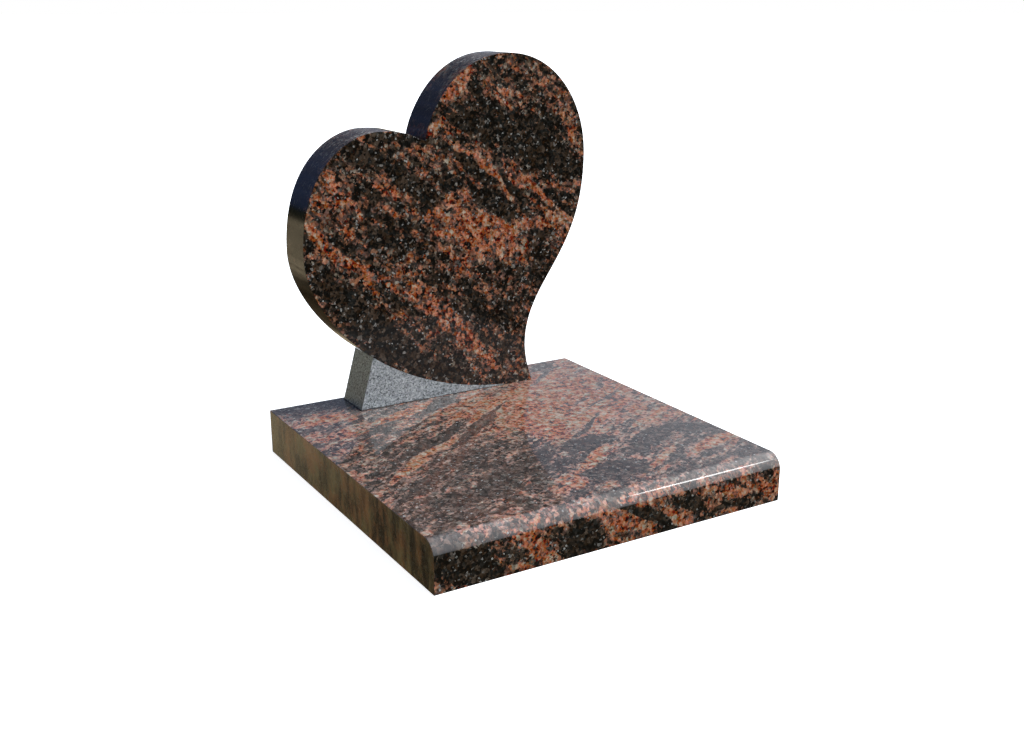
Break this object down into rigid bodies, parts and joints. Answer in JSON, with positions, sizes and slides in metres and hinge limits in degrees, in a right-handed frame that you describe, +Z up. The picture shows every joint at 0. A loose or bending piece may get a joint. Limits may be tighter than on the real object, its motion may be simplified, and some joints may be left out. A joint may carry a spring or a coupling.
{
  "type": "cremation memorial",
  "caption": "Polished granite heart standing on its curled point near the back of a square base slab, propped by a grey granite wedge; marks a cremation plot.",
  "frame": {"origin": "centre of the base slab's underside", "axes": "+Z up, -Y towards the front, +X to the right seen from the front"},
  "size_m": [0.61, 0.61, 0.666],
  "materials": {
    "base_granite": "mirror polished multicolour granite, black, orange-red and grey",
    "heart_granite": "mirror polished multicolour granite, black, orange-red and grey",
    "grey_granite": "honed fine grey granite"
  },
  "bodies": {
    "root": {"base_slab": "base_granite", "heart_headstone": "heart_granite", "support_wedge": "grey_granite"}
  },
  "joints": []
}
